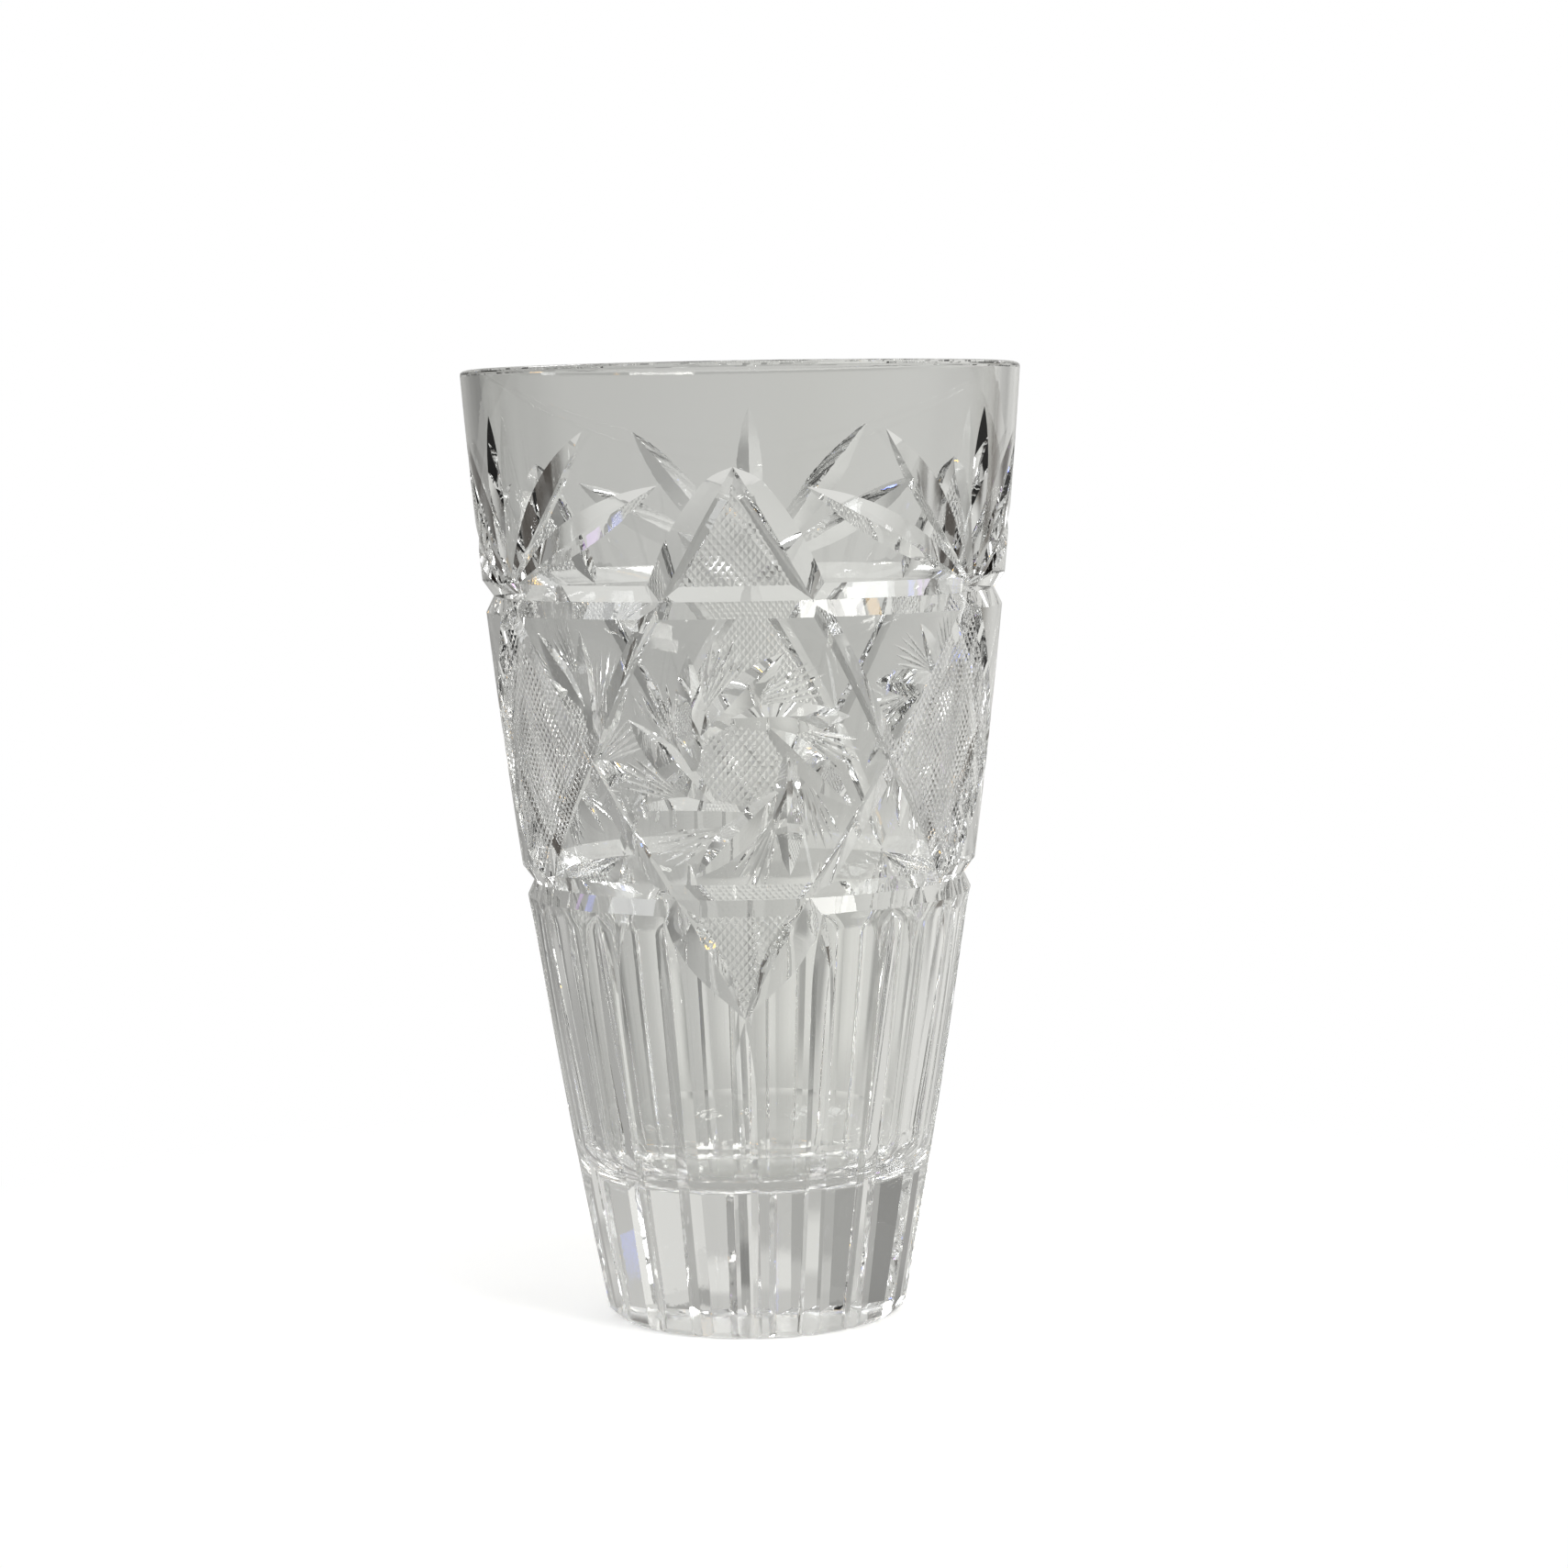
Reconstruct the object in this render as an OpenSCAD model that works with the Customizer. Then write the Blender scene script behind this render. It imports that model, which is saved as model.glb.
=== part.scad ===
// Cut crystal vase: one solid piece of clear glass, with a flared wall, a thick foot and wheel-cut decoration.
// The origin is the centre of the resting face, +Z is up, and the middle of one large lozenge faces -Y.

/* [Body] */
// Height from the resting face to the rim
height = 250; // [220:5:280]
// Radius of the wall at the rim
rim_r = 73.3; // [70:0.1:78]
// Radius of the wall at half height
waist_r = 60.5; // [58:0.1:63]
// Radius of the wall where it reaches the foot
foot_r = 40; // [38:0.1:43]
// Thickness of solid glass under the cavity
floor_t = 38; // [30:1:46]
// Wall thickness at the rim
rim_t = 5; // [4:0.5:7]
// Wall thickness near the foot
low_wall_t = 8; // [7:0.5:10]
// Radius of the rounded corner at the bottom of the cavity
cavity_corner_r = 13; // [8:1:16]

/* [Ring grooves] */
// Height of the upper groove, as a share of the vase's height
upper_ring = 0.765; // [0.75:0.005:0.78]
// Height of the lower groove, as a share of the vase's height
lower_ring = 0.465; // [0.45:0.005:0.475]
// Depth of both grooves
ring_depth = 2.4; // [1.5:0.1:3]
// Half width of both grooves at the surface
ring_half_w = 4; // [3:0.1:5]

/* [Lozenges] */
// Half width of a large lozenge, in degrees round the axis
lozenge_half_deg = 37; // [34:0.5:40]
// Height of a lozenge's upper tip, as a share of the vase's height
lozenge_top = 0.897; // [0.885:0.001:0.91]
// Height of its side corners and of the pinwheel's centre
lozenge_mid = 0.602; // [0.595:0.001:0.615]
// Height of its lower tip
lozenge_low = 0.343; // [0.33:0.001:0.365]
// Depth of the cuts that outline the lozenges
outline_depth = 1.8; // [1.2:0.1:2.3]

/* [Fans] */
// Angle round the axis between a fan's upright blade and the tip of the next one
fan_inner_deg = 28.5; // [26:0.5:31]
// Angle round the axis between a fan's upright blade and the tip of the outermost one
fan_outer_deg = 45; // [42:0.5:46.5]
// Height of the upright blade's tip, as a share of the vase's height
fan_tip = 0.952; // [0.93:0.001:0.965]
// Height of the next blades' tips
fan_inner_tip = 0.93; // [0.91:0.001:0.95]
// Height of the outermost blades' tips
fan_outer_tip = 0.877; // [0.865:0.001:0.9]
// Depth of a blade at its middle
blade_depth = 2.3; // [1.5:0.1:2.5]

/* [Pinwheels] */
// Vanes of one pinwheel
vanes = 8; // [6:1:8]
// Length of a vane
vane_len = 32; // [26:1:34]
// Distance from the pinwheel's centre to the line of a vane
vane_offset = 12; // [10:0.5:13]
// Depth of a vane at its middle
vane_depth = 2.2; // [1.5:0.1:2.5]

/* [Flutes] */
// Upright flutes round the foot, the same number under each lozenge
flutes = 18; // [12:3:21]
// Half width of a flute, in degrees round the axis
flute_half_deg = 4.4; // [3.5:0.1:6.2]
// Depth of a flute
flute_depth = 2.2; // [1.5:0.1:2.4]

/* [Hidden] */

$fn = 180;
lozenges = 3;
pitch = 360 / lozenges;
wall_steps = 10;        // straight steps that stand for the wall's bulge
corner_steps = 6;
foot_bevel = 1.6;
rim_round = 1;
clear = 0.6;            // how far a cutter stands out of the surface
leaf_half_angle = 60;   // half the angle of a leaf cut's V
outline_half_angle = 58;
leaf_run_out = 3;       // how far a leaf's cutter runs past each end of the cut
flute_run_out = 6;      // how far a flute's cutter runs on below the foot
fan_root_gap_deg = 2.4; // angle between neighbouring blades at their roots
fan_root_rise = 3;      // from the upper groove's centre to the blades' roots
vane_tail = 4.5;        // how far a vane reaches back past the middle of its side
least_bend = 0.0001;    // a cutter that bends less than this is as good as straight

upper_z = upper_ring * height;
lower_z = lower_ring * height;
top_z = lozenge_top * height;
mid_z = lozenge_mid * height;
low_z = lozenge_low * height;
fan_root_z = upper_z + fan_root_rise;
fan_tips = [[0, fan_tip * height], [fan_inner_deg, fan_inner_tip * height], [fan_outer_deg, fan_outer_tip * height]];

// The wall's outline is a parabola through the foot, the waist and the rim.
bow = 2 * (foot_r + rim_r) - 4 * waist_r;
rise = rim_r - foot_r - bow;
function wall_r(z) = foot_r + rise * z / height + bow * pow(z / height, 2);
function wall_lean(z) = atan((rise + 2 * bow * z / height) / height);
function wall_t(z) = low_wall_t + (rim_t - low_wall_t) * z / height;
function cavity_r(z) = wall_r(z) - wall_t(z);

// Length round the wall of an angle at a height.
function arc(deg, z) = deg * PI / 180 * wall_r(z);

// How sharply the surface bends along a line that climbs at this angle from level.
function surface_bend(z, climb) =
    pow(cos(climb), 2) / wall_r(z) - pow(sin(climb), 2) * 2 * bow / pow(height, 2);

// The wall from one height to another, outside or inside.
function outer_line(from, to) =
    [for (i = [0:wall_steps]) let (z = from + (to - from) * i / wall_steps) [wall_r(z), z]];
function inner_line(from, to) =
    [for (i = [0:wall_steps]) let (z = from + (to - from) * i / wall_steps) [cavity_r(z), z]];

// The rounded corner between the cavity's wall and its floor.
function inner_corner() =
    let (z = floor_t + cavity_corner_r, centre = [cavity_r(z) - cavity_corner_r, z])
        [for (i = [1:corner_steps])
            let (a = -90 * i / corner_steps) centre + cavity_corner_r * [cos(a), sin(a)]];

module blank() {
    rotate_extrude()
        polygon(concat(
            [[0, 0], [wall_r(0) - foot_bevel, 0]],
            outer_line(foot_bevel, height - rim_round),
            [[wall_r(height) - rim_round, height], [cavity_r(height) + rim_round, height]],
            inner_line(height - rim_round, floor_t + cavity_corner_r),
            inner_corner(),
            [[0, floor_t]]));
}

module ring_groove(z) {
    out = ring_half_w * (ring_depth + clear) / ring_depth;
    rotate_extrude()
        polygon([
            [wall_r(z) - ring_depth, z],
            [wall_r(z + out) + clear, z + out],
            [wall_r(z - out) + clear, z - out]]);
}

// Moves its children to a point on the wall, with X out of the glass, Y round to the right and Z up the wall.
module on_wall(turn, z) {
    rotate([0, 0, turn - 90])
        translate([wall_r(z), 0, z])
            rotate([0, wall_lean(z), 0])
                children();
}

// A V-edged cutter along Y, this deep at its middle. Its edge bends out of the glass for a positive bend,
// as a wheel's does, and into it for a negative one, as a line that follows a bulging surface does.
module v_cutter(len, depth, bend, half_angle) {
    r = 1 / max(abs(bend), least_bend);
    tall = depth + clear;
    w = tall * tan(half_angle);
    side = bend > 0 ? 1 : -1;
    sweep = 2 * asin(len / 2 / r);
    translate([side * r - depth, 0, 0])
        rotate([0, 0, (bend > 0 ? 180 : 0) - sweep / 2])
            rotate_extrude(angle = sweep)
                polygon([[r, 0], [r - side * tall, w], [r - side * tall, -w]]);
}

// A leaf-shaped cut whose depth runs out to nothing at both ends. It climbs at an angle from level.
module leaf_cut(turn, z, climb, len, depth) {
    on_wall(turn, z)
        rotate([climb, 0, 0])
            v_cutter(
                len + 2 * leaf_run_out,
                depth,
                8 * depth / pow(len, 2) - surface_bend(z, climb),
                leaf_half_angle);
}

// A V-shaped cut of even depth along the wall from one [turn, z] to another.
module mitre(from, to, depth) {
    middle = (from + to) / 2;
    across = arc(to[0] - from[0], middle[1]);
    up = (to[1] - from[1]) / cos(wall_lean(middle[1]));
    climb = atan2(up, across);
    on_wall(middle[0], middle[1])
        rotate([climb, 0, 0])
            v_cutter(norm([across, up]), depth, -surface_bend(middle[1], climb), outline_half_angle);
}

// The outline of one large lozenge, and the nearer half of the narrow one on each side of it.
module lozenge_outlines() {
    for (s = [-1, 1]) {
        corner = [s * lozenge_half_deg, mid_z];
        mitre([0, top_z], corner, outline_depth);
        mitre([0, low_z], corner, outline_depth);
        mitre(corner, [s * pitch / 2, upper_z], outline_depth);
        mitre(corner, [s * pitch / 2, lower_z], outline_depth);
    }
}

// One upright leaf cut with two more on each side, spreading from the upper ring groove.
module fan(turn) {
    for (i = [0:len(fan_tips) - 1], s = i == 0 ? [1] : [-1, 1]) {
        tip = fan_tips[i];
        root = fan_root_gap_deg * i;
        z = (fan_root_z + tip[1]) / 2;
        across = s * arc(tip[0] - root, z);
        up = tip[1] - fan_root_z;
        leaf_cut(turn + s * (tip[0] + root) / 2, z, atan2(up, across), norm([across, up]), blade_depth);
    }
}

// Leaf cuts that each run along one side of a polygon and on past its corner, clockwise from outside.
module pinwheel() {
    ahead = vane_len / 2 - vane_tail;
    for (i = [0:vanes - 1]) {
        climb = -i * 360 / vanes;
        at = vane_offset * [-sin(climb), cos(climb)] + ahead * [cos(climb), sin(climb)];
        leaf_cut(at[0] / arc(1, mid_z), mid_z + at[1], climb, vane_len, vane_depth);
    }
}

// A straight V-shaped flute along the wall, from below the foot up to a height.
module flute(turn, top) {
    middle = top / 2;
    half_w = arc(flute_half_deg, middle) * (flute_depth + clear) / flute_depth;
    len = top / cos(wall_lean(middle));
    on_wall(turn, middle)
        translate([0, 0, -len / 2 - flute_run_out])
            linear_extrude(len + flute_run_out)
                polygon([[-flute_depth, 0], [clear, half_w], [clear, -half_w]]);
}

// The blank with its ring grooves and the flutes of its foot. The flute under a lozenge stops at its tip.
module fluted_blank() {
    difference() {
        blank();
        ring_groove(upper_z);
        ring_groove(lower_z);
        for (i = [0:flutes - 1])
            flute(i * 360 / flutes, i % (flutes / lozenges) == 0 ? low_z : lower_z);
    }
}

module vase_body() {
    color("gainsboro", 0.6)
        difference() {
            difference() {
                fluted_blank();
                for (i = [0:lozenges - 1])
                    rotate([0, 0, i * pitch])
                        lozenge_outlines();
            }
            for (i = [0:lozenges - 1])
                rotate([0, 0, i * pitch]) {
                    fan(pitch / 2);
                    pinwheel();
                }
        }
}

vase_body();
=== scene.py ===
import math
import random

import bpy
import numpy as np
from mathutils import Matrix, Vector


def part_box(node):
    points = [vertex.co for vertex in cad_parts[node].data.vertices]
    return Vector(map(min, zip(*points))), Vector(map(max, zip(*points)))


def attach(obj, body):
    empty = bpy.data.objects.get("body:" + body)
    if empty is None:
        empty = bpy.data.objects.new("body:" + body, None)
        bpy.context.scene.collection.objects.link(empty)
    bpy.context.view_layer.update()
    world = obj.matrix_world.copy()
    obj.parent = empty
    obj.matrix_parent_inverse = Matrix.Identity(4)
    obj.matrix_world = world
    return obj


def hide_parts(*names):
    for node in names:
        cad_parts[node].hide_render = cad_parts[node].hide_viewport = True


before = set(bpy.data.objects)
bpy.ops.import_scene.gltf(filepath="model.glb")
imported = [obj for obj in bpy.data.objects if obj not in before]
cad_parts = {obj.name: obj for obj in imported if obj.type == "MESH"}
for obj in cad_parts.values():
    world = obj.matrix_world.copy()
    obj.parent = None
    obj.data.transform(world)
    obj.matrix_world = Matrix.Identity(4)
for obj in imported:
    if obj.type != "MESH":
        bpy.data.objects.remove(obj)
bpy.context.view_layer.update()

# A cut crystal vase: V-shaped cutters take the pattern, three times round, from a turned glass blank.
# Lengths are millimetres up to the finished mesh, and metres in the lights, floor and camera.
# On the wall, a is the angle in degrees from -Y towards +X, and z is the height.
random.seed(24)

# ---------------------------------------------------------------- the vase's own numbers
MM = 0.001
low_corner, high_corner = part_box("vase_body")
HEIGHT = (high_corner[2] - low_corner[2]) / MM
RIM_R = 73.3
WAIST_R = 60.5
FOOT_R = 40.0
FLOOR_T = 38.0
RIM_T = 5.0
LOW_WALL_T = 8.0
CAVITY_CORNER_R = 13.0
FOOT_BEVEL = 1.6
RIM_ROUND = 1.4
RIM_FULLNESS = 0.8        # 1 is an elliptic rim, less is squarer
UNEVEN_FLOOR = 0.05       # how far the cavity's floor strays from flat

UPPER_RING = 0.765 * HEIGHT
LOWER_RING = 0.465 * HEIGHT
LOZENGE_TOP = 0.897 * HEIGHT
LOZENGE_MID = 0.602 * HEIGHT
LOZENGE_LOW = 0.343 * HEIGHT
LOZENGE_HALF = 37.0
PERIODS = 3
PITCH = 360.0 / PERIODS
FLUTES = 18
PANEL = 360.0 / FLUTES
TIP_BLEND = 2.4           # degrees inside a lower tip's mitre over which the flat panels turn round
PANEL_FADE_LOW = LOWER_RING - 9
PANEL_FADE_HIGH = LOWER_RING - 2

COLUMNS = 270
RIM_STEPS = 8
CORNER_STEPS = 12
STAND_OUT = 0.5           # how far a cutter stands out of the surface
FADED = -0.3              # a cut that has run out is held this far above the surface

BOW = 2 * (FOOT_R + RIM_R) - 4 * WAIST_R
RISE = RIM_R - FOOT_R - BOW

NORMAL_STEP = 0.02        # degrees and millimetres either side of a point, for the wall's slope there
TINY = 1e-12


def smooth_step(x, low, high):
    """0 below low, 1 above high, smooth between."""
    t = np.clip((np.asarray(x, float) - low) / (high - low), 0, 1)
    return t * t * (3 - 2 * t)


def turned_r(z):
    """Radius of the turned wall, before any cut."""
    t = np.asarray(z, float) / HEIGHT
    return FOOT_R + RISE * t + BOW * t * t


def cavity_r(z):
    """Radius of the cavity above its rounded corner."""
    t = np.asarray(z, float) / HEIGHT
    return turned_r(z) - LOW_WALL_T - (RIM_T - LOW_WALL_T) * t


def panel_share(a, z):
    """1 where the foot is cut into flat panels, 0 above the lower ring groove and inside a lower tip."""
    from_lozenge = np.abs((np.asarray(a, float) + PITCH / 2) % PITCH - PITCH / 2)
    half_width = LOZENGE_HALF * (np.asarray(z, float) - LOZENGE_LOW) / (LOZENGE_MID - LOZENGE_LOW)
    inside_tip = smooth_step(half_width - from_lozenge, 0, TIP_BLEND)
    return (1 - smooth_step(z, PANEL_FADE_LOW, PANEL_FADE_HIGH)) * (1 - inside_tip)


def from_panel_middle(a):
    """Signed angle in degrees from the middle of the nearest flat panel."""
    return (np.asarray(a, float) % PANEL) - PANEL / 2


def outer_r(a, z):
    """Radius of the wall with its flat panels, before the cuts."""
    half = math.radians(PANEL / 2)
    flat = math.cos(half) / np.cos(np.radians(from_panel_middle(a)))
    return turned_r(z) * (1 - panel_share(a, z) * (1 - flat))


def on_wall(a, z):
    """Points on the wall at angles a (degrees from -Y towards +X) and heights z."""
    r = outer_r(a, z)
    t = np.radians(a)
    return np.stack([r * np.sin(t), -r * np.cos(t), np.broadcast_to(z, r.shape)], axis=-1)


def unit(v):
    return v / np.maximum(np.linalg.norm(v, axis=-1, keepdims=True), TINY)


def wall_normal(a, z):
    a, z = np.asarray(a, float), np.asarray(z, float)
    across = on_wall(a + NORMAL_STEP, z) - on_wall(a - NORMAL_STEP, z)
    up = on_wall(a, z + NORMAL_STEP) - on_wall(a, z - NORMAL_STEP)
    return unit(np.cross(across, up))


# ---------------------------------------------------------------- mesh helpers
class Solid:
    """Vertices and triangles gathered from closed pieces."""

    def __init__(self):
        self.verts, self.tris, self.count = [], [], 0

    def add(self, verts, tris):
        """Takes in one closed piece, turned so that its faces point outwards."""
        verts, tris = np.asarray(verts, float), np.asarray(tris, int)
        p = verts[tris]
        if np.einsum("ij,ij->i", p[:, 0], np.cross(p[:, 1], p[:, 2])).sum() < 0:
            tris = tris[:, ::-1]
        self.verts.append(verts)
        self.tris.append(tris + self.count)
        self.count += len(verts)

    def mesh(self, name):
        mesh = bpy.data.meshes.new(name)
        mesh.from_pydata(np.vstack(self.verts).tolist(), [], np.vstack(self.tris).tolist())
        mesh.update()
        return mesh


def revolve(profile, columns):
    """A closed turned solid. The profile runs from the axis round to the axis, or is a loop clear of it."""
    loop = profile[0][0] > 1e-6
    rings, verts = [], []
    angles = 2 * math.pi * np.arange(columns) / columns
    for r, z in profile:
        if r < 1e-6:
            rings.append([len(verts)])
            verts.append((0, 0, z))
        else:
            rings.append(list(range(len(verts), len(verts) + columns)))
            verts += [(r * math.sin(t), -r * math.cos(t), z) for t in angles]
    tris = []
    pairs = list(zip(rings, rings[1:])) + ([(rings[-1], rings[0])] if loop else [])
    for one, two in pairs:
        for i in range(columns):
            j = (i + 1) % columns
            if len(one) > 1 and len(two) > 1:
                tris += [(one[i], one[j], two[j]), (one[i], two[j], two[i])]
            elif len(one) > 1:
                tris.append((one[i], one[j], two[0]))
            elif len(two) > 1:
                tris.append((one[0], two[j], two[i]))
    return np.array(verts), np.array(tris)


def v_cut(solid, a, z, depth, left, right, stand_out=STAND_OUT):
    """A V-shaped cutter along a path on the wall. left and right are its half angles, in degrees."""
    a, z = np.asarray(a, float), np.asarray(z, float)
    depth = np.broadcast_to(np.asarray(depth, float), a.shape)
    left = np.broadcast_to(np.asarray(left, float), a.shape)
    right = np.broadcast_to(np.asarray(right, float), a.shape)
    p, n = on_wall(a, z), wall_normal(a, z)
    along = np.gradient(p, axis=0)
    along = unit(along - n * np.sum(along * n, axis=1, keepdims=True))
    side = np.cross(n, along)
    tall = (depth + stand_out)[:, None]
    apex = p - n * depth[:, None]
    one = p + n * stand_out + side * tall * np.tan(np.radians(left))[:, None]
    two = p + n * stand_out - side * tall * np.tan(np.radians(right))[:, None]
    verts = np.stack([apex, one, two], axis=1).reshape(-1, 3)
    tris = [(0, 1, 2)]
    count = len(a)
    for i in range(count - 1):
        s, e = 3 * i, 3 * (i + 1)
        for j, k in ((0, 1), (1, 2), (2, 0)):
            tris += [(s + k, s + j, e + j), (s + k, e + j, e + k)]
    end = 3 * (count - 1)
    tris.append((end + 2, end + 1, end))
    solid.add(verts, tris)


def line_points(start, end, step, run_out=0.0):
    """Points from one (a, z) to another, running on by run_out millimetres at both ends."""
    (a0, z0), (a1, z1) = start, end
    length = math.dist(on_wall(np.float64(a0), np.float64(z0)), on_wall(np.float64(a1), np.float64(z1)))
    count = max(3, int(round((length + 2 * run_out) / step)) + 1)
    s = np.linspace(-run_out, length + run_out, count) / length
    return a0 + (a1 - a0) * s, z0 + (z1 - z0) * s, s, length


def leaf(solid, start, end, depth, half_angle, belly, step=1.8):
    """A leaf-shaped cut: its depth runs out to nothing at both ends and is greatest at belly."""
    a, z, s, _ = line_points(start, end, step, run_out=0.8)
    power = math.log(0.5) / math.log(belly)
    warped = np.sign(s) * np.abs(s) ** power
    d = depth * (1 - (2 * warped - 1) ** 2)
    v_cut(solid, a, z, np.maximum(d, FADED), half_angle, half_angle)


def wobble(size):
    """The small error of a cut held by hand."""
    return random.uniform(-size, size)


# ---------------------------------------------------------------- the blank
def blank_profile():
    """The blank's outline as (radius, height), from the axis under the foot round to the cavity's floor."""
    points = [(0, 0), (FOOT_R - 2 * FOOT_BEVEL, 0), (FOOT_R - FOOT_BEVEL, 0)]
    rows = np.concatenate([
        np.linspace(FOOT_BEVEL, PANEL_FADE_LOW, 14),
        np.linspace(PANEL_FADE_LOW, PANEL_FADE_HIGH, 5)[1:],
        np.linspace(PANEL_FADE_HIGH, HEIGHT - RIM_ROUND, 20)[1:]])
    points += [(float(turned_r(z)), float(z)) for z in rows]
    mid = (float(turned_r(HEIGHT)) + float(cavity_r(HEIGHT))) / 2
    half = RIM_T / 2
    for i in range(1, RIM_STEPS):
        t = math.pi * i / RIM_STEPS
        up = RIM_ROUND * math.sin(t) ** RIM_FULLNESS
        points.append((mid + half * math.cos(t), HEIGHT - RIM_ROUND + up))
    z_low = FLOOR_T + CAVITY_CORNER_R
    points += [(float(cavity_r(z)), float(z)) for z in np.linspace(HEIGHT - RIM_ROUND, z_low, 14)]
    centre = float(cavity_r(z_low)) - CAVITY_CORNER_R
    for i in range(1, CORNER_STEPS + 1):
        t = -math.pi / 2 * i / CORNER_STEPS
        points.append((centre + CAVITY_CORNER_R * math.cos(t), z_low + CAVITY_CORNER_R * math.sin(t)))
    points += [(centre * 0.66, FLOOR_T - UNEVEN_FLOOR), (centre * 0.33, FLOOR_T + UNEVEN_FLOOR)]
    return points + [(0, FLOOR_T + 2 * UNEVEN_FLOOR)]


def blank():
    """The glass before any cut, with the foot's flat panels pressed in."""
    verts, tris = revolve(blank_profile(), COLUMNS)
    r = np.hypot(verts[:, 0], verts[:, 1])
    a = np.degrees(np.arctan2(verts[:, 0], -verts[:, 1]))
    z = verts[:, 2]
    slack = 0.01
    outside = r > turned_r(z) - FOOT_BEVEL - slack
    below = z < HEIGHT - RIM_ROUND - slack
    share = np.where(outside & below, outer_r(a, z) / turned_r(z), 1.0)
    verts[:, :2] *= share[:, None]
    solid = Solid()
    solid.add(verts, tris)
    return solid.mesh("vase_body_glass")


# ---------------------------------------------------------------- the cutters, in groups that don't meet
RING_DEPTH = 2.5
RING_HALF_WIDTH = 4.2


def ring_grooves():
    solid = Solid()
    out = RING_HALF_WIDTH * (RING_DEPTH + STAND_OUT) / RING_DEPTH
    for z in (UPPER_RING, LOWER_RING):
        apex = float(turned_r(z)) - RING_DEPTH
        profile = [(apex, z), (float(turned_r(z + out)) + STAND_OUT, z + out),
                   (float(turned_r(z - out)) + STAND_OUT, z - out)]
        solid.add(*revolve(profile, COLUMNS))
    return [solid]


FLUTE_DEPTH = 2.3
FLUTE_HALF_ANGLE = 58.0
FLUTE_FADE = 22.0         # height over which the top of a flute runs out
FLUTE_START = -3.0        # below the foot, so that a flute is open at the bottom


def flutes():
    """Upright V flutes between the foot's flat panels, pointed at the top."""
    groups = [Solid(), Solid()]
    for i in range(FLUTES):
        under_tip = i % (FLUTES // PERIODS) == 0
        top = (LOZENGE_LOW - 1 if under_tip else LOWER_RING - 4) + wobble(0.8)
        z = np.linspace(FLUTE_START, top, 34)
        fade = 1 - np.clip((z - top + FLUTE_FADE) / FLUTE_FADE, 0, 1) ** 2
        depth = (FLUTE_DEPTH + wobble(0.1)) * fade - 0.02
        a = np.full_like(z, i * PANEL + wobble(0.25))
        v_cut(groups[i % 2], a, z, np.maximum(depth, FADED), FLUTE_HALF_ANGLE, FLUTE_HALF_ANGLE)
    return groups


OUTLINE_DEPTH = 1.7
OUTLINE_HALF_ANGLE = 54.0
OUTLINE_STEP = 2.0


def outlines():
    """Even mitres between the ring grooves, which cross at the lozenges' side corners."""
    groups = []
    for s in (-1, 1):
        for tip, ring, far_ring in (
                (LOZENGE_TOP, UPPER_RING, LOWER_RING), (LOZENGE_LOW, LOWER_RING, UPPER_RING)):
            solid = Solid()
            share = (ring - LOZENGE_MID) / (tip - LOZENGE_MID)
            corner = (s * LOZENGE_HALF, LOZENGE_MID)
            a1, z1, _, _ = line_points((s * LOZENGE_HALF * (1 - share), ring), corner, OUTLINE_STEP)
            a2, z2, _, _ = line_points(corner, (s * PITCH / 2, far_ring), OUTLINE_STEP)
            a, z = np.concatenate([a1, a2[1:]]), np.concatenate([z1, z2[1:]])
            for i in range(PERIODS):
                depth = OUTLINE_DEPTH + wobble(0.08)
                v_cut(solid, i * PITCH + a, z, depth, OUTLINE_HALF_ANGLE, OUTLINE_HALF_ANGLE)
            groups.append(solid)
    return groups


TIP_DEPTH = 2.5
TIP_INNER_ANGLE = 53.0    # the two faces' angles from the middle of the V
TIP_OUTER_ANGLE = 52.0
TIP_SWELL = 15.0          # what the outer one gains halfway down
UPPER_TIP_FADE = 8.0      # length over which a mitre deepens from its tip
LOWER_TIP_FADE = 24.0


def tip_mitres():
    """The cuts along the hatched tips: a narrow inner face and a wide, leaf-shaped outer one."""
    groups = []
    for s in (-1, 1):
        for tip, ring, fade in (
                (LOZENGE_TOP, UPPER_RING, UPPER_TIP_FADE), (LOZENGE_LOW, LOWER_RING, LOWER_TIP_FADE)):
            solid = Solid()
            share = (tip - ring) / (tip - LOZENGE_MID)
            a, z, t, length = line_points((0, tip), (s * LOZENGE_HALF * share, ring), 1.4, run_out=0.6)
            depth = TIP_DEPTH * (1 - np.clip(1 - t * length / fade, 0, 1.3) ** 2)
            outer = TIP_OUTER_ANGLE + TIP_SWELL * np.sin(math.pi * np.clip(t * 0.93, 0, 1)) ** 0.7
            inner = np.full_like(outer, TIP_INNER_ANGLE)
            left, right = (outer, inner) if (s > 0) != (ring > tip) else (inner, outer)
            for i in range(PERIODS):
                v_cut(solid, i * PITCH + a, z, np.maximum(depth, FADED), left, right)
            groups.append(solid)
    return groups


# tip angle, root angle and tip height as a share of the vase's, for the blades on one side of a fan
BLADES = ((0, 0, 0.955), (28.5, 1.6, 0.932), (45, 3.2, 0.878))
BLADE_DEPTH = 2.45
BLADE_HALF_ANGLE = 60.0
FAN_ROOT = UPPER_RING + 3


def fans():
    """Leaf cuts that spread upwards from the upper ring groove."""
    groups = []
    for tip_a, root_a, tip_share in BLADES:
        for s in ((1,) if tip_a == 0 else (-1, 1)):
            solid = Solid()
            for i in range(PERIODS):
                at = PITCH / 2 + i * PITCH
                end = (at + s * tip_a + wobble(0.4), tip_share * HEIGHT + wobble(0.8))
                depth = BLADE_DEPTH + wobble(0.1)
                leaf(solid, (at + s * root_a, FAN_ROOT), end, depth, BLADE_HALF_ANGLE, belly=0.56)
            groups.append(solid)
    return groups


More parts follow.
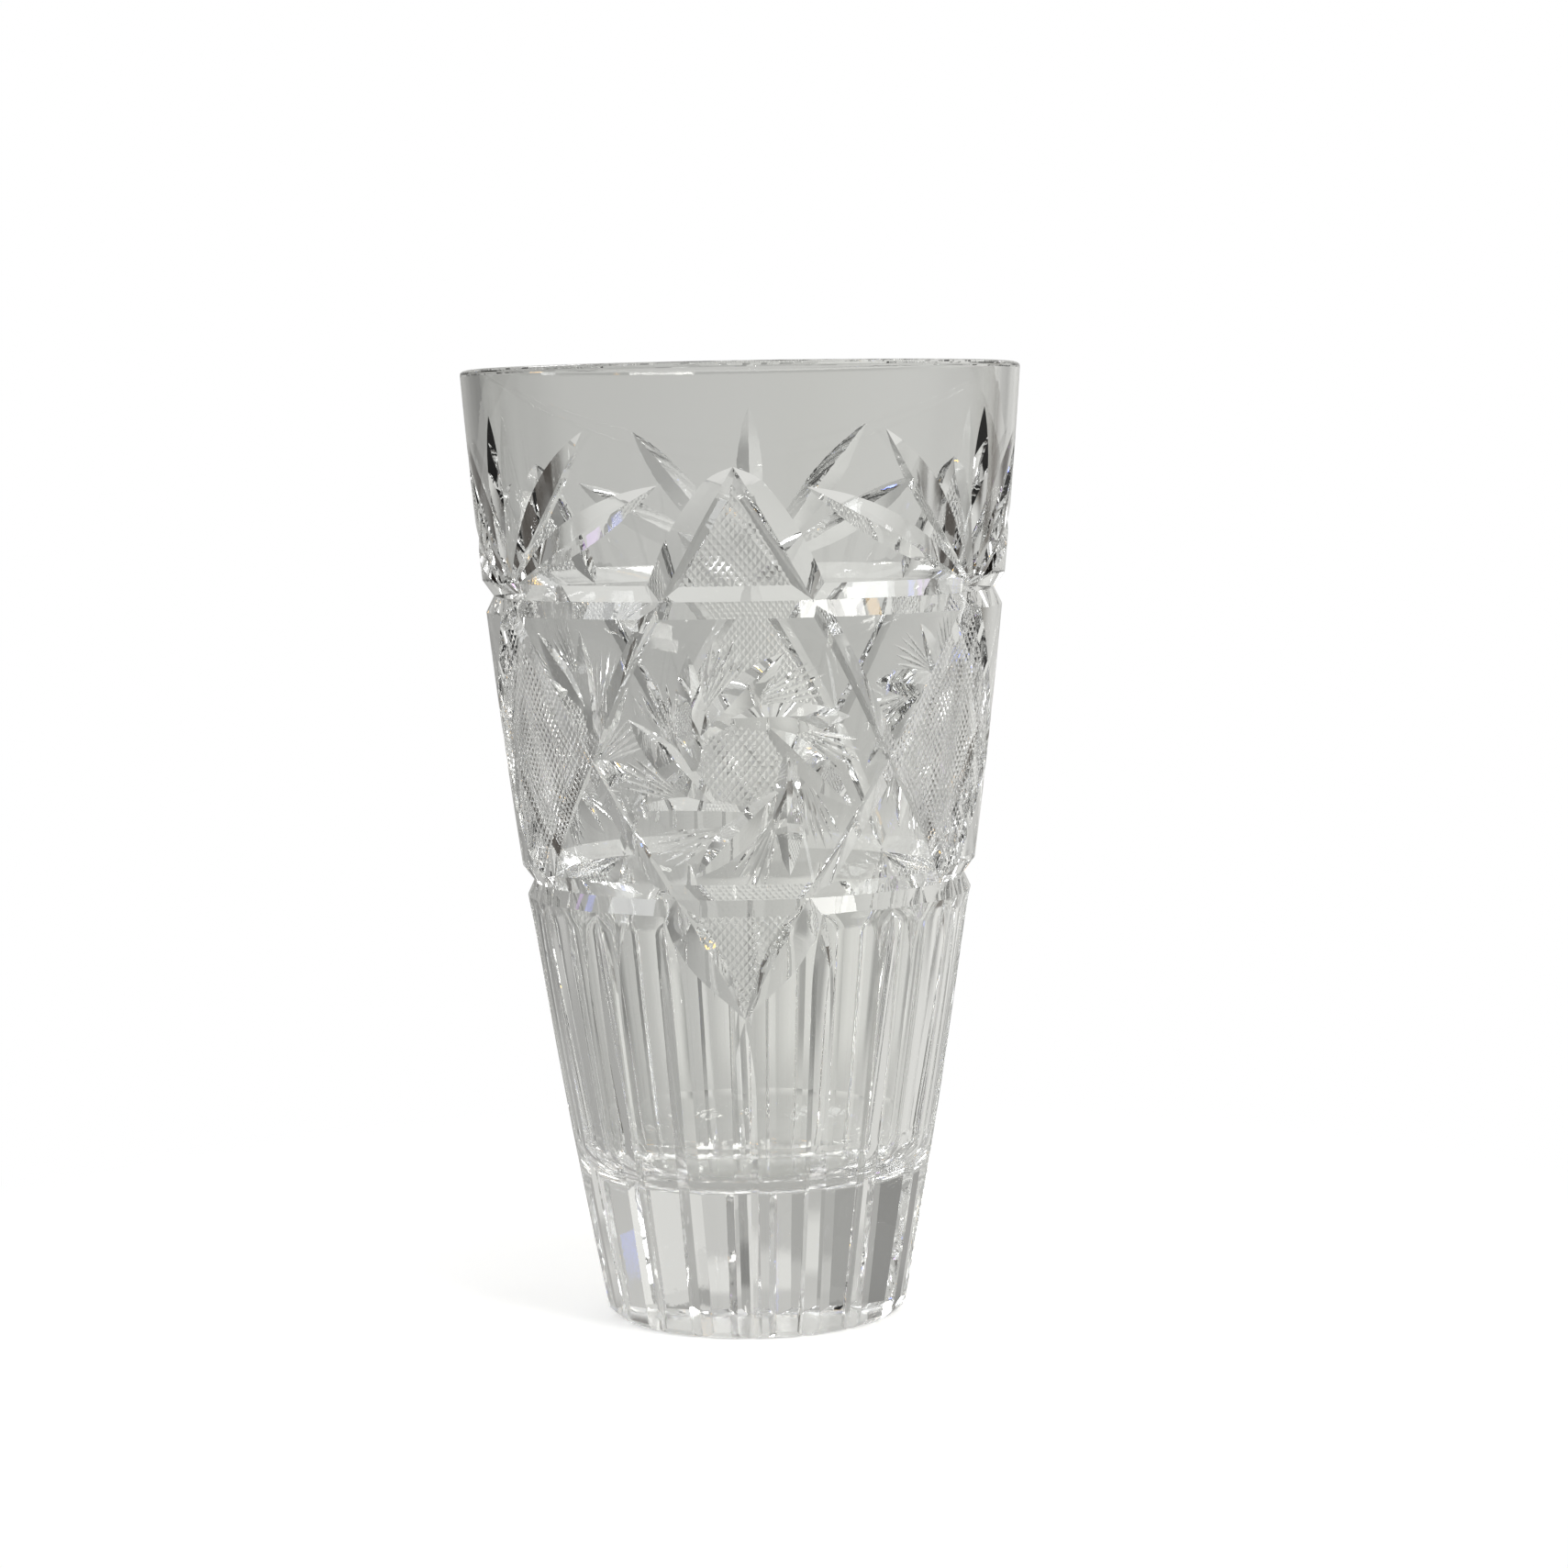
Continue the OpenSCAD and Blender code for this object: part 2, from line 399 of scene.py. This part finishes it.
WALL_RISE = 0.985         # height gained by a millimetre up the leaning wall


def around(angle_deg, distance, across=0.0):
    """A point on the front wall, so many millimetres from the pinwheel's centre."""
    t = math.radians(angle_deg)
    u = distance * math.cos(t) - across * math.sin(t)
    v = distance * math.sin(t) + across * math.cos(t)
    z = LOZENGE_MID + v * WALL_RISE
    return math.degrees(u / float(turned_r(z))), z


VANES = 8
VANE_LINE = 12.0          # from the pinwheel's centre to the line of a vane
VANE_LENGTH = 34.0
VANE_TAIL = 5.5           # how far a vane reaches back past the middle of its side
VANE_DEPTH = 2.55
VANE_HALF_ANGLE = 58.0


def vanes():
    """Leaf cuts that each run along one side of an octagon and on past its corner."""
    groups = []
    for k in range(VANES):
        climb = -k * 360 / VANES
        solid = Solid()
        for i in range(PERIODS):
            at = i * PITCH
            a0, z0 = around(climb + wobble(0.5), -VANE_TAIL, VANE_LINE)
            a1, z1 = around(climb + wobble(0.5), VANE_LENGTH - VANE_TAIL, VANE_LINE)
            depth = VANE_DEPTH + wobble(0.08)
            leaf(solid, (at + a0, z0), (at + a1, z1), depth, VANE_HALF_ANGLE, belly=0.52)
        groups.append(solid)
    return groups


RAYS = 5
RAY_APEX = (1.5, VANE_LINE + 3.4)      # where the rays of a crotch meet, along and across a vane
RAY_GAP = 4.5                          # from there to where a ray starts
RAY_LENGTH = 17.5                      # of the middle ray
RAY_SHORTER = 1.2                      # what each ray further out is shorter by
RAY_FIRST = 6.0                        # angles from the vane
RAY_SPREAD = 27.0
RAY_DEPTH = 0.3
RAY_HALF_ANGLE = 62.0


def rays():
    """Fine cuts that spread from the crotch between two vanes."""
    groups = [Solid() for _ in range(RAYS)]
    for k in range(VANES):
        climb = -k * 360 / VANES
        a0, z0 = around(climb, *RAY_APEX)
        r = float(turned_r(z0))
        for j in range(RAYS):
            turn = climb + RAY_FIRST + RAY_SPREAD * j / (RAYS - 1)
            far = RAY_GAP + (RAY_LENGTH - RAY_SHORTER * abs(j - RAYS // 2))
            for i in range(PERIODS):
                at = i * PITCH
                step = math.radians(turn + wobble(0.6))
                start, end = (
                    (at + (a0 + math.degrees(reach * math.cos(step) / r)), z0 + reach * math.sin(step))
                    for reach in (RAY_GAP, far))
                leaf(groups[j], start, end, RAY_DEPTH, RAY_HALF_ANGLE, belly=0.55, step=2.9)
    return groups


HATCH_PITCH = 1.65
HATCH_DEPTH = 0.25
HATCH_HALF_ANGLE = 70.5
HATCH_CLIMB = 51.0
HATCH_STEP = 3.0
HATCH_STAND_OUT = 0.02    # small enough that neighbouring cutters don't meet
HATCH_INSET = 1.6         # the fields end this far inside the cuts around them
SHORTEST_HATCH = 0.8
PARALLEL = 1e-9
BEYOND_FIELD = 40.0       # lines are tried this far past a field, to be sure that they cover it


def hatch_line_span(polygon, point, direction):
    """Where a line enters and leaves a convex polygon, as distances along it, or None."""
    low, high = -math.inf, math.inf
    count = len(polygon)
    for i in range(count):
        p, q = np.array(polygon[i]), np.array(polygon[(i + 1) % count])
        edge = q - p
        inward = np.array([-edge[1], edge[0]])
        start, run = float(inward @ (point - p)), float(inward @ direction)
        if abs(run) < PARALLEL:
            if start < 0:
                return None
        elif run > 0:
            low = max(low, -start / run)
        else:
            high = min(high, -start / run)
    return (low, high) if high - low > SHORTEST_HATCH else None


def hatch(groups, centre_a, polygon):
    """Fine crossed cuts over a convex field, given counterclockwise as (degrees, height)."""
    mid_z = sum(p[1] for p in polygon) / len(polygon)
    r = float(outer_r(centre_a, mid_z))
    flat = [(math.radians(a) * r, z) for a, z in polygon]
    reach = max(math.dist(flat[0], p) for p in flat) + BEYOND_FIELD
    middle = np.mean(np.array(flat), axis=0)
    for solid, climb in zip(groups, (HATCH_CLIMB, -HATCH_CLIMB)):
        t = math.radians(climb)
        direction = np.array([math.cos(t), math.sin(t)])
        across = np.array([-direction[1], direction[0]])
        for k in range(-int(reach / HATCH_PITCH), int(reach / HATCH_PITCH) + 1):
            point = middle + across * (k + 0.5) * HATCH_PITCH
            span = hatch_line_span(flat, point, direction)
            if span is None:
                continue
            count = max(3, int((span[1] - span[0]) / HATCH_STEP) + 2)
            s = np.linspace(span[0], span[1], count)
            u, z = point[0] + s * direction[0], point[1] + s * direction[1]
            depth = HATCH_DEPTH + wobble(0.01)
            a = centre_a + np.degrees(u / r)
            v_cut(solid, a, z, depth, HATCH_HALF_ANGLE, HATCH_HALF_ANGLE, HATCH_STAND_OUT)


def hatched_fields():
    """The lozenges' tips, the narrow lozenges between them, and the octagons in the pinwheels."""
    groups = [Solid(), Solid()]
    for i in range(PERIODS):
        at = i * PITCH
        for tip, ring in ((LOZENGE_TOP, UPPER_RING), (LOZENGE_LOW, LOWER_RING)):
            up = 1 if tip > ring else -1
            base = ring + up * HATCH_INSET
            share = (tip - ring - up * HATCH_INSET) / (tip - LOZENGE_MID)
            wide = LOZENGE_HALF * share * 0.98
            field = [(-wide, base), (wide, base), (0, tip - up * 2.0)]
            hatch(groups, at, field if up > 0 else field[::-1])
        half = PITCH / 2 - LOZENGE_HALF - 0.5
        hatch(groups, at + PITCH / 2, [
            (-half, LOZENGE_MID), (0, LOWER_RING + HATCH_INSET),
            (half, LOZENGE_MID), (0, UPPER_RING - HATCH_INSET)])
        corner = VANE_LINE / math.cos(math.pi / VANES)
        hatch(groups, at, [around((k + 0.5) * 360 / VANES, corner) for k in range(VANES)])
    return groups


# ---------------------------------------------------------------- cutting
def subtract(obj, solid, name):
    """Takes a group of cutters away from an object and applies the result."""
    cutter = bpy.data.objects.new(name, solid.mesh(name))
    bpy.context.scene.collection.objects.link(cutter)
    mod = obj.modifiers.new(name, "BOOLEAN")
    mod.operation = "DIFFERENCE"
    mod.solver = "MANIFOLD"
    mod.object = cutter
    graph = bpy.context.evaluated_depsgraph_get()
    result = bpy.data.meshes.new_from_object(obj.evaluated_get(graph))
    obj.modifiers.clear()
    old = obj.data
    obj.data = result
    bpy.data.meshes.remove(old)
    mesh = cutter.data
    bpy.data.objects.remove(cutter)
    bpy.data.meshes.remove(mesh)


vase = bpy.data.objects.new("vase_body_glass", blank())
bpy.context.scene.collection.objects.link(vase)
for step in (ring_grooves, flutes, outlines, tip_mitres, fans, hatched_fields, vanes, rays):
    for index, group in enumerate(step()):
        subtract(vase, group, "cut_" + step.__name__ + "_" + str(index))


# ---------------------------------------------------------------- true normals and the ground mask
ON_SURFACE = 0.06         # a face this near the wall or the cavity may belong to it
ALONG_WALL = 0.9985       # cosine of the angle up to which it does
CREASE_GUARD = 0.05       # degrees by which a panel's normal keeps off the crease
SHARP_COS = math.cos(math.radians(14))        # edges sharper than this stay crisp
SHARP_BORDER_COS = math.cos(math.radians(3))  # and sharper than this where a wall ends
# how deep a hatched facet lies in the wall, and how far it leans from it
GROUND_LEVEL = (0.02, 0.3)
GROUND_LEAN_COS = (math.cos(math.radians(24)), math.cos(math.radians(15)))


def read(items, name, width=1, kind=float):
    """A value, or a row of them, for each vertex, edge, loop or face."""
    values = np.empty(len(items) * width, kind)
    items.foreach_get(name, values)
    return values if width == 1 else values.reshape(-1, width)


def angle_of(points):
    return np.degrees(np.arctan2(points[:, 0], -points[:, 1]))


def panel_normal(face_a, face_z, a, z):
    """The wall's normal at a face's corner, on a flat panel taken on the face's own side of the crease."""
    middle = np.floor(face_a / PANEL) * PANEL + PANEL / 2
    limit = PANEL / 2 - CREASE_GUARD
    held = np.clip(a - middle, -limit, limit) + middle
    held = np.where(np.abs(a - face_a) > 180, face_a, held)
    return wall_normal(np.where(face_z < LOWER_RING, held, a), z)


def cavity_normal(points):
    t, z = np.arctan2(points[:, 0], -points[:, 1]), points[:, 2]
    slope = (cavity_r(z + 0.1) - cavity_r(z - 0.1)) / 0.2
    return unit(np.stack([-np.sin(t), np.cos(t), slope], axis=1))


def sharp_edges(mesh, loop_face, normals, kind):
    """True for edges that stay crisp. kind tells wall, cavity and cut faces apart."""
    first = np.full(len(mesh.edges), -1)
    second = np.full(len(mesh.edges), -1)
    for edge, face in zip(read(mesh.loops, "edge_index", kind=int), loop_face):
        if first[edge] < 0:
            first[edge] = face
        else:
            second[edge] = face
    both = second >= 0
    angle_cos = np.ones(len(mesh.edges))
    angle_cos[both] = np.sum(normals[first[both]] * normals[second[both]], axis=1)
    border = both & (kind[first] != kind[second])
    return (angle_cos < SHARP_COS) | (border & (angle_cos < SHARP_BORDER_COS))


def finish_surface(mesh):
    """Gives wall and cavity their true normals, keeps the cuts crisp, and marks the ground hatching."""
    normals = read(mesh.polygons, "normal", 3)
    centres = read(mesh.polygons, "center", 3)
    loop_face = np.repeat(np.arange(len(mesh.polygons)), read(mesh.polygons, "loop_total", kind=int))
    a, z = angle_of(centres), centres[:, 2]
    r = np.hypot(centres[:, 0], centres[:, 1])
    lean = np.sum(normals * wall_normal(a, z), axis=1)
    below_rim = z < HEIGHT - RIM_ROUND
    is_wall = (np.abs(r - outer_r(a, z)) < ON_SURFACE) & (z > FOOT_BEVEL) & below_rim & (lean > ALONG_WALL)
    is_cavity = (np.abs(r - cavity_r(z)) < ON_SURFACE) & (z > FLOOR_T + CAVITY_CORNER_R) & below_rim

    points = read(mesh.vertices, "co", 3)[read(mesh.loops, "vertex_index", kind=int)]
    custom = np.zeros((len(mesh.loops), 3))
    on = is_wall[loop_face]
    custom[on] = panel_normal(a[loop_face], z[loop_face], angle_of(points), points[:, 2])[on]
    on = is_cavity[loop_face]
    custom[on] = cavity_normal(points)[on]

    sharp = sharp_edges(mesh, loop_face, normals, is_wall.astype(int) + 2 * is_cavity.astype(int))
    mesh.polygons.foreach_set("use_smooth", np.ones(len(mesh.polygons), bool))
    mesh.attributes.new("sharp_edge", "BOOLEAN", "EDGE").data.foreach_set("value", sharp)
    mesh.normals_split_custom_set(custom.tolist())

    level = outer_r(a, z) - r
    hatched = (level > GROUND_LEVEL[0]) & (level < GROUND_LEVEL[1]) \
        & (lean > GROUND_LEAN_COS[0]) & (lean < GROUND_LEAN_COS[1]) \
        & (z > FOOT_BEVEL * 2) & (z < HEIGHT - 4)
    mesh.attributes.new("ground", "FLOAT", "FACE").data.foreach_set("value", hatched.astype(np.float32))


finish_surface(vase.data)
vase.data.vertices.foreach_set("co", (read(vase.data.vertices, "co", 3) * MM).ravel())
vase.data.update()

# ---------------------------------------------------------------- node shorthands
WARM = (1.0, 0.995, 0.965)
BROWN = (1.0, 0.86, 0.74)
DARK = 0.2                # tones below this are brown wood, the rest is warm grey


def tone_color(tone):
    return tuple(tone * c for c in (BROWN if tone < DARK else WARM))


class Wiring:
    """A few node shorthands for one material's or world's tree."""

    def __init__(self, owner):
        self.nodes, self.links = owner.node_tree.nodes, owner.node_tree.links

    def put(self, value, socket):
        if isinstance(value, bpy.types.NodeSocket):
            self.links.new(value, socket)
        else:
            socket.default_value = value

    def math(self, operation, one, two=0.0):
        node = self.nodes.new("ShaderNodeMath")
        node.operation = operation
        self.put(one, node.inputs[0])
        self.put(two, node.inputs[1])
        return node.outputs[0]

    def vector(self, operation, one, two=(0, 0, 0), output="Vector"):
        node = self.nodes.new("ShaderNodeVectorMath")
        node.operation = operation
        self.put(one, node.inputs[0])
        self.put(two, node.inputs[1])
        return node.outputs[output]

    def span(self, value, low, high):
        """0 below low, 1 above high, smooth between. low may be the greater."""
        node = self.nodes.new("ShaderNodeMapRange")
        node.interpolation_type = "SMOOTHSTEP"
        node.inputs["From Min"].default_value = low
        node.inputs["From Max"].default_value = high
        self.put(value, node.inputs["Value"])
        return node.outputs["Result"]

    def mix(self, share, one, two):
        node = self.nodes.new("ShaderNodeMix")
        node.data_type = "RGBA"
        for value, name in ((share, "Factor"), (one, "A"), (two, "B")):
            self.put((*value, 1) if isinstance(value, tuple) else value, node.inputs[name])
        return node.outputs["Result"]

    def azimuth(self, place):
        """Degrees round the vase from +Y, towards +X."""
        parts = self.nodes.new("ShaderNodeSeparateXYZ")
        self.put(place, parts.inputs[0])
        return self.math("DEGREES", self.math("ARCTAN2", parts.outputs["X"], parts.outputs["Y"]))

    def height(self, place):
        parts = self.nodes.new("ShaderNodeSeparateXYZ")
        self.put(place, parts.inputs[0])
        return parts.outputs["Z"]

    def noise(self, place, stretch, detail=2.0):
        """Soft noise, with so many features per metre along X, Y and Z."""
        node = self.nodes.new("ShaderNodeTexNoise")
        node.inputs["Scale"].default_value = 1.0
        node.inputs["Detail"].default_value = detail
        self.put(self.vector("MULTIPLY", place, stretch), node.inputs["Vector"])
        return node.outputs["Fac"]

    def split_rays(self, seen, through, output):
        """Shows one shader to the camera, and another to rays that come by way of the glass."""
        choose = self.nodes.new("ShaderNodeMixShader")
        path = self.nodes.new("ShaderNodeLightPath")
        self.put(path.outputs["Is Camera Ray"], choose.inputs["Fac"])
        self.put(through.outputs[0], choose.inputs[1])
        self.put(seen.outputs[0], choose.inputs[2])
        self.put(choose.outputs[0], output.inputs["Surface"])

    def round_tones(self, azimuth, stops):
        """The room's tone by azimuth, from (degrees, tone) stops in rising order."""
        share = self.math("DIVIDE", self.math("ADD", azimuth, 180.0), 360.0)
        node = self.nodes.new("ShaderNodeValToRGB")
        ramp = node.color_ramp
        while len(ramp.elements) > 1:
            ramp.elements.remove(ramp.elements[-1])
        for i, (degrees, tone) in enumerate(stops):
            at = (degrees + 180) / 360
            element = ramp.elements[0] if i == 0 else ramp.elements.new(at)
            element.position = at
            element.color = (*tone_color(tone), 1)
        self.links.new(share, node.inputs["Fac"])
        return node.outputs["Color"]


# ---------------------------------------------------------------- glass
GLASS_IOR = 1.545


def make_glass():
    """Clear glass with faint waves, a slight body colour, a film of handling marks and ground hatching."""
    material = bpy.data.materials.new("cut_crystal")
    material.use_nodes = True
    tree = Wiring(material)
    shader = tree.nodes["Principled BSDF"]
    shader.inputs["Transmission Weight"].default_value = 1.0
    shader.inputs["IOR"].default_value = GLASS_IOR
    place = tree.nodes.new("ShaderNodeTexCoord").outputs["Object"]

    # upright waves, as in blown glass, and a finer ripple left by polishing
    bump = tree.nodes.new("ShaderNodeBump")
    bump.inputs["Strength"].default_value = 1.0
    bump.inputs["Distance"].default_value = 0.00003
    ripple = tree.math("MULTIPLY", tree.noise(place, (420, 420, 260)), 0.12)
    tree.put(tree.math("ADD", tree.noise(place, (75, 75, 7)), ripple), bump.inputs["Height"])
    tree.put(bump.outputs["Normal"], shader.inputs["Normal"])

    # a slight grey body colour, a touch deeper in places
    deeper = tree.span(tree.noise(place, (14, 14, 5)), 0.35, 0.7)
    tree.put(tree.mix(deeper, (0.975, 0.98, 0.975), (0.95, 0.955, 0.94)), shader.inputs["Base Color"])

    # a film of handling marks on the polished faces, ground hatching, and a scratched resting face
    film = tree.math("MULTIPLY", tree.span(tree.noise(place, (38, 38, 30), 5.0), 0.52, 0.75), 0.035)
    ground = tree.nodes.new("ShaderNodeAttribute")
    ground.attribute_name = "ground"
    frosted = tree.math("MULTIPLY", ground.outputs["Fac"], 0.07)
    resting = tree.math("MULTIPLY", tree.span(tree.height(place), 0.0006, 0.0002), 0.18)
    grain = tree.math("ADD", tree.noise(place, (900, 900, 900), 6.0), 0.5)
    scratches = tree.math("MULTIPLY", resting, grain)
    tree.put(tree.math("ADD", tree.math("ADD", film, frosted), scratches), shader.inputs["Roughness"])
    return material


vase.data.materials.clear()
vase.data.materials.append(make_glass())

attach(vase, "root")
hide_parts("vase_body")

# ---------------------------------------------------------------- the room that the glass bends and reflects
# Stops of (degrees from +Y towards +X, tone): the walls at eye level and below, higher up, and above that,
# then the table, whose tones are painted light and shade that the floor glows with through the glass.
LOW_WALL = (
    (-180, 0.58), (-140, 0.66), (-110, 0.50), (-90, 0.40), (-78, 0.07), (-66, 0.07), (-60, 0.26), (-36, 0.26),
    (-24, 0.40), (-12, 0.54), (0, 0.66), (8, 0.74), (14, 0.84), (22, 0.84), (27, 0.48), (36, 0.48),
    (42, 0.80), (50, 0.80), (62, 0.60), (67, 0.07), (76, 0.07), (82, 0.90), (110, 0.85), (140, 0.56),
    (165, 0.48), (180, 0.58))
HIGH_WALL = (
    (-180, 0.66), (-130, 0.76), (-100, 0.66), (-80, 0.38), (-72, 0.07), (-42, 0.07), (-33, 0.50), (-22, 0.70),
    (-8, 0.58), (0, 0.66), (12, 0.78), (25, 0.68), (34, 0.66), (39, 0.07), (52, 0.07), (58, 0.60),
    (90, 1.0), (130, 0.76), (180, 0.66))
UPPER_WALL = (
    (-180, 0.75), (-110, 0.60), (-80, 0.50), (-72, 0.08), (-46, 0.08), (-36, 0.66), (-18, 0.80), (0, 0.86),
    (24, 0.88), (36, 0.55), (42, 0.08), (52, 0.08), (60, 0.70), (90, 1.0), (180, 0.75))
# painted light and shade on the table: lighter towards the lamps' side and darker away from it, glowed by the
# floor
NEAR_TABLE_PAINTED_LIGHT = (
    (-180, 0.62), (-120, 0.46), (-60, 0.44), (-30, 0.46), (0, 0.62), (30, 0.78), (60, 0.86), (120, 0.78),
    (180, 0.62))
MID_TABLE_PAINTED_LIGHT = (
    (-180, 0.62), (-120, 0.46), (-72, 0.30), (-62, 0.60), (-48, 0.60), (-40, 0.24), (-26, 0.24), (-18, 0.55),
    (-6, 0.62), (4, 0.86), (12, 0.86), (17, 0.42), (24, 0.42), (30, 0.95), (50, 0.95), (58, 0.45),
    (75, 0.80), (90, 0.66), (180, 0.62))
FAR_TABLE_PAINTED_LIGHT = (
    (-180, 0.58), (-100, 0.30), (-60, 0.42), (-20, 0.42), (-6, 0.48), (5, 0.60), (15, 0.80), (32, 0.70),
    (44, 0.14), (58, 0.14), (80, 0.56), (180, 0.58))
CEILING_EDGE = (0.62, 0.62, 0.61)
CEILING = (0.95, 0.95, 0.94)
# painted shade: the flat grey that the floor glows with under the vase
SHADE_UNDER_VASE = (0.5, 0.5, 0.48)
ROOM_LEVEL = 0.87

# Lamps, the last five coloured to stand in for rainbow glints: direction, radius and fade in degrees, colour.
LAMPS = (
    ((0.35, -0.5, 0.8), 4, 5, (6.0, 5.9, 5.6)),
    ((-0.5, -0.3, 0.8), 3, 4, (8.0, 8.0, 8.4)),
    ((0.75, 0.35, 0.55), 4, 5, (5.5, 5.5, 5.5)),
    ((-0.6, 0.6, 0.55), 3, 4, (7.0, 7.0, 7.0)),
    ((0.15, 0.8, 0.6), 3, 4, (7.0, 7.0, 7.0)),
    ((-0.15, 0.9, 0.35), 1.6, 2.4, (5.0, 5.0, 5.0)),
    ((0.55, 0.8, 0.25), 1.6, 2.4, (5.0, 5.0, 5.0)),
    ((-0.8, 0.1, 0.4), 2, 3, (1.2, 1.5, 5.0)),
    ((-0.75, 0.2, 0.35), 1.6, 2.6, (2.6, 1.4, 3.8)),
    ((0.25, 0.7, 0.55), 2, 3, (5.5, 3.0, 0.6)),
    ((0.65, -0.2, 0.6), 2, 3, (5.5, 3.2, 0.7)),
    ((0.1, -0.8, 0.5), 2, 3, (1.0, 1.5, 5.5)),
)


def make_room():
    """The world: white to the camera, and to the rays that the glass bends or reflects a room with lamps."""
    world = bpy.data.worlds.new("studio")
    world.use_nodes = True
    tree = Wiring(world)
    looking = tree.nodes.new("ShaderNodeTexCoord").outputs["Generated"]
    azimuth = tree.azimuth(looking)
    elevation = tree.math("DEGREES", tree.math("ARCSINE", tree.height(looking)))
    low, high, upper = (tree.round_tones(azimuth, stops) for stops in (LOW_WALL, HIGH_WALL, UPPER_WALL))
    room = tree.mix(tree.span(elevation, 2, 7), low, high)
    room = tree.mix(tree.span(elevation, 11, 15), room, upper)
    room = tree.mix(tree.span(elevation, 26, 40), room, CEILING_EDGE)
    room = tree.mix(tree.span(elevation, 50, 70), room, CEILING)
    for direction, radius, fade, color in LAMPS:
        towards = unit(np.array(direction, float)).tolist()
        near = tree.vector("DOT_PRODUCT", looking, towards, output="Value")
        lamp = tree.span(near, math.cos(math.radians(fade)), math.cos(math.radians(radius)))
        room = tree.mix(lamp, room, color)
    lit = tree.nodes["Background"]
    lit.inputs["Strength"].default_value = ROOM_LEVEL
    tree.put(room, lit.inputs["Color"])
    white = tree.nodes.new("ShaderNodeBackground")
    white.inputs["Color"].default_value = (1, 1, 1, 1)
    tree.split_rays(white, lit, tree.nodes["World Output"])
    return world


def make_table():
    """The floor's paper: white with a soft shadow to the camera; through the glass it glows with painted
    light and shade in the room's tones.
    """
    material = bpy.data.materials.new("pale_floor")
    material.use_nodes = True
    tree = Wiring(material)
    place = tree.nodes.new("ShaderNodeTexCoord").outputs["Object"]
    azimuth = tree.azimuth(place)
    distance = tree.vector("LENGTH", place, output="Value")
    near, mid, far = (tree.round_tones(azimuth, stops) for stops in (NEAR_TABLE_PAINTED_LIGHT, MID_TABLE_PAINTED_LIGHT, FAR_TABLE_PAINTED_LIGHT))
    painted_table_light = tree.mix(tree.span(distance, 0.28, 0.42), near, mid)
    painted_table_light = tree.mix(tree.span(distance, 0.8, 1.2), painted_table_light, far)
    # painted shade under the vase, blended in close to its foot
    painted_table_light = tree.mix(tree.span(distance, 0.07, 0.04), painted_table_light, SHADE_UNDER_VASE)
    # painted light and shade: to rays through the glass the floor is no lit surface, it glows with the
    # table's tones
    through = tree.nodes.new("ShaderNodeEmission")
    through.inputs["Strength"].default_value = ROOM_LEVEL
    tree.put(painted_table_light, through.inputs["Color"])
    paper = tree.nodes["Principled BSDF"]
    paper.inputs["Base Color"].default_value = (0.93, 0.93, 0.92, 1)
    paper.inputs["Roughness"].default_value = 0.7
    paper.inputs["Emission Color"].default_value = (1, 1, 1, 1)
    paper.inputs["Emission Strength"].default_value = 0.3
    seen = tree.nodes.new("ShaderNodeMixShader")
    tree.put(tree.span(distance, 0.07, 0.3), seen.inputs["Fac"])
    tree.put(paper.outputs[0], seen.inputs[1])
    tree.put(tree.nodes.new("ShaderNodeEmission").outputs[0], seen.inputs[2])
    tree.split_rays(seen, through, tree.nodes["Material Output"])
    return material


bpy.context.scene.world = make_room()

# ---------------------------------------------------------------- floor, lights and camera
FLOOR_R = 4.0
FLOOR_POINTS = 96
FLOOR_Z = -0.0002         # just under the resting face

floor_mesh = bpy.data.meshes.new("floor")
edge = [(FLOOR_R * math.cos(t), FLOOR_R * math.sin(t), FLOOR_Z)
        for t in np.linspace(0, 2 * math.pi, FLOOR_POINTS, endpoint=False)]
floor_mesh.from_pydata(edge, [], [list(range(FLOOR_POINTS))])
floor_mesh.materials.append(make_table())
floor = bpy.data.objects.new("floor", floor_mesh)
bpy.context.scene.collection.objects.link(floor)


def area_light(name, place, side, power, color):
    """A square soft light, aimed at the vase."""
    data = bpy.data.lights.new(name, "AREA")
    data.shape = "RECTANGLE"
    data.size, data.size_y = side, side
    data.energy = power
    data.color = color
    obj = bpy.data.objects.new(name, data)
    obj.location = place
    direction = np.array(LIT_POINT) - np.array(place)
    obj.rotation_euler = Vector(direction.tolist()).to_track_quat("-Z", "Y").to_euler()
    bpy.context.scene.collection.objects.link(obj)


LIT_POINT = (0, 0, 0.1)
area_light("key", (1.2, -1.0, 1.6), 0.9, 22, (1, 0.99, 0.96))
area_light("fill", (-1.5, -0.6, 1.2), 0.8, 8, (0.96, 0.98, 1))

CAMERA_DISTANCE = 0.95
CAMERA_HEIGHT = 0.23
CAMERA_AZIMUTH = math.radians(1.8)
PITCH_DOWN = math.radians(5.42)
YAW = math.radians(-0.58)
ROLL = math.radians(-1.0)

camera_data = bpy.data.cameras.new("camera")
camera_data.sensor_width = 36
camera_data.lens = 82.7
camera = bpy.data.objects.new("camera", camera_data)
camera.location = (
    CAMERA_DISTANCE * math.sin(CAMERA_AZIMUTH), -CAMERA_DISTANCE * math.cos(CAMERA_AZIMUTH), CAMERA_HEIGHT)
turn = Matrix.Rotation(CAMERA_AZIMUTH + YAW, 4, "Z") \
    @ Matrix.Rotation(math.pi / 2 - PITCH_DOWN, 4, "X") \
    @ Matrix.Rotation(ROLL, 4, "Z")
camera.rotation_euler = turn.to_euler()
bpy.context.scene.collection.objects.link(camera)
bpy.context.scene.camera = camera

scene = bpy.context.scene
scene.view_settings.view_transform = "Standard"
scene.cycles.max_bounces = 28
scene.cycles.transmission_bounces = 24
scene.cycles.glossy_bounces = 12
scene.cycles.transparent_max_bounces = 16
scene.cycles.use_denoising = True
